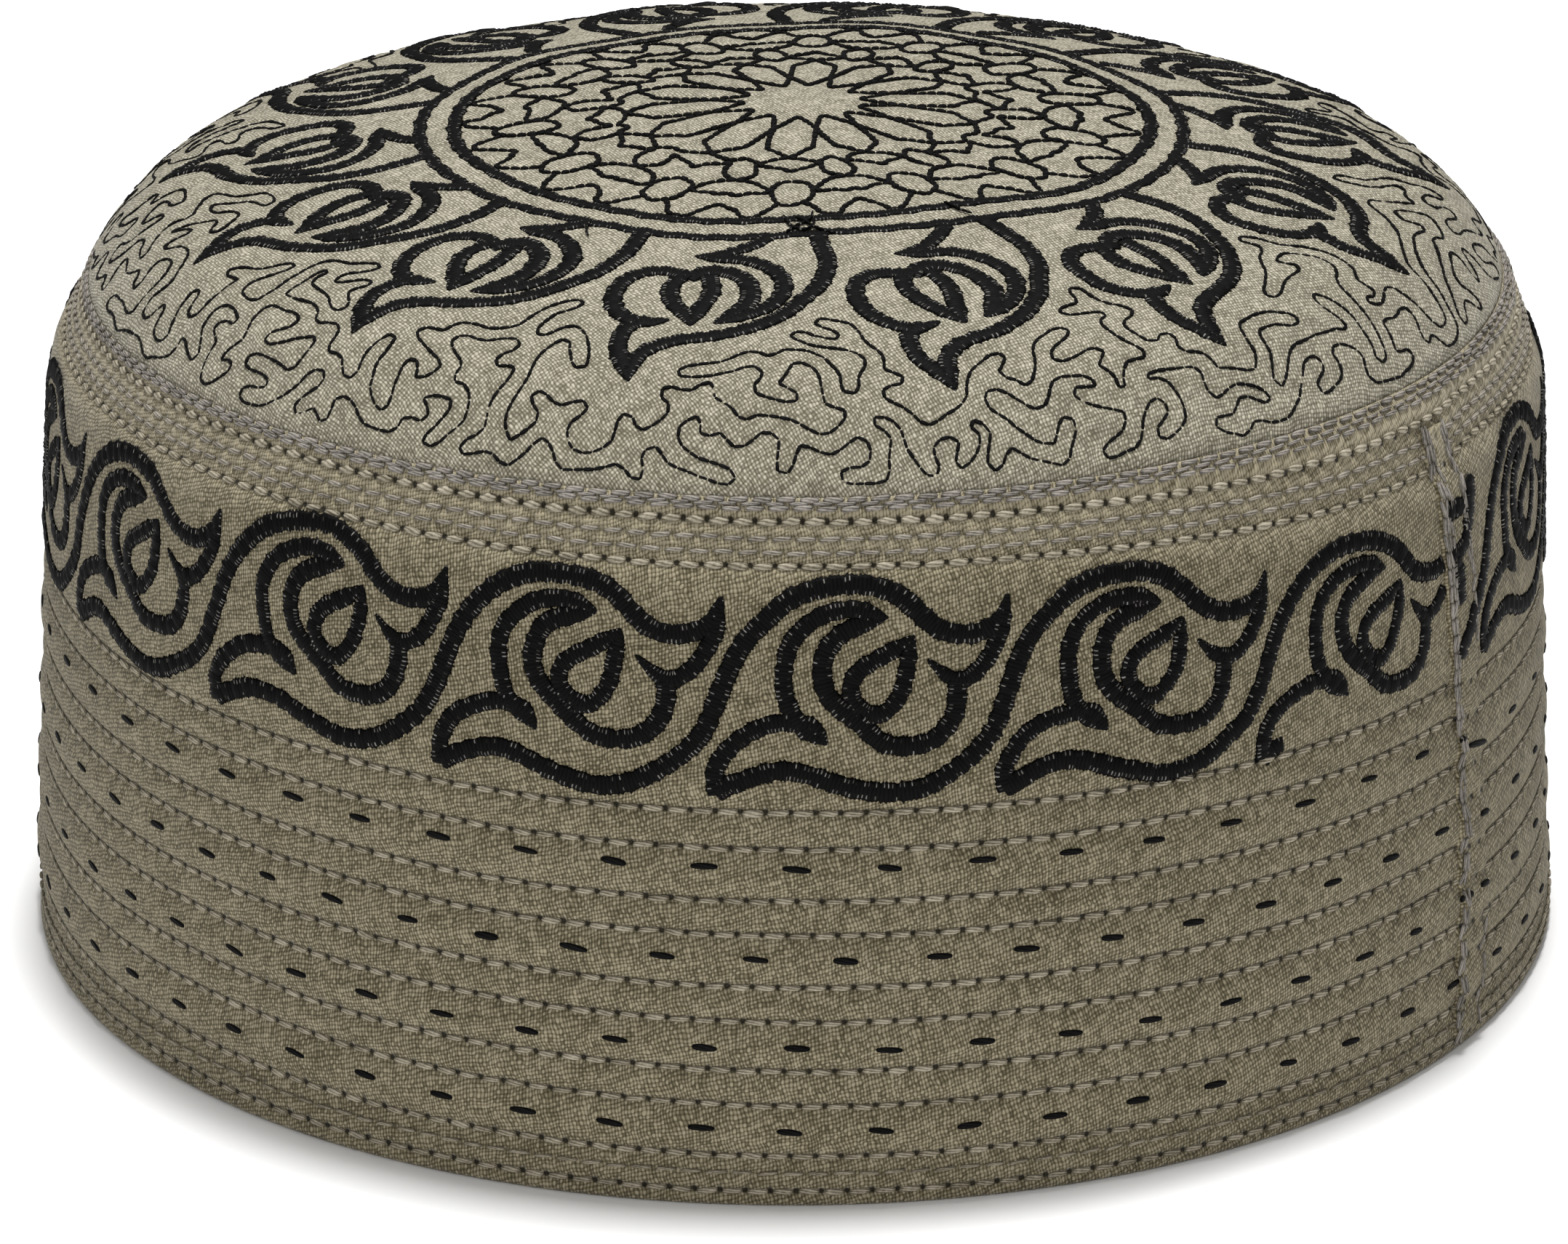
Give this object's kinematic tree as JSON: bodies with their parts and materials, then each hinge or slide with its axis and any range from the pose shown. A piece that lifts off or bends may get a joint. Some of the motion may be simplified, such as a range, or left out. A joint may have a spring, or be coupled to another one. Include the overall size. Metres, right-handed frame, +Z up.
{
  "type": "embroidered skull cap",
  "caption": "Round flat-topped skull cap with a quilted upright side band, a shallow domed crown and a sewn lap; open head hollow below.",
  "frame": {"origin": "middle of the lower edge, on the surface that the cap rests on", "axes": "+Z up through the crown, -Y to the front, +X to the wearer's left; the lap is between -Y and +X"},
  "size_m": [0.186, 0.186, 0.0996],
  "materials": {
    "side_cloth": "khaki plain-weave cotton, quilted, matte",
    "crown_cloth": "khaki plain-weave cotton, smooth, matte",
    "black_thread": "black embroidery thread with a slight sheen",
    "pale_thread": "beige quilting thread with a slight sheen",
    "grey_thread": "grey seam thread, fuzzy"
  },
  "bodies": {
    "root": {"side_band": "side_cloth", "crown": "crown_cloth", "lap_strip": "side_cloth"}
  },
  "joints": []
}
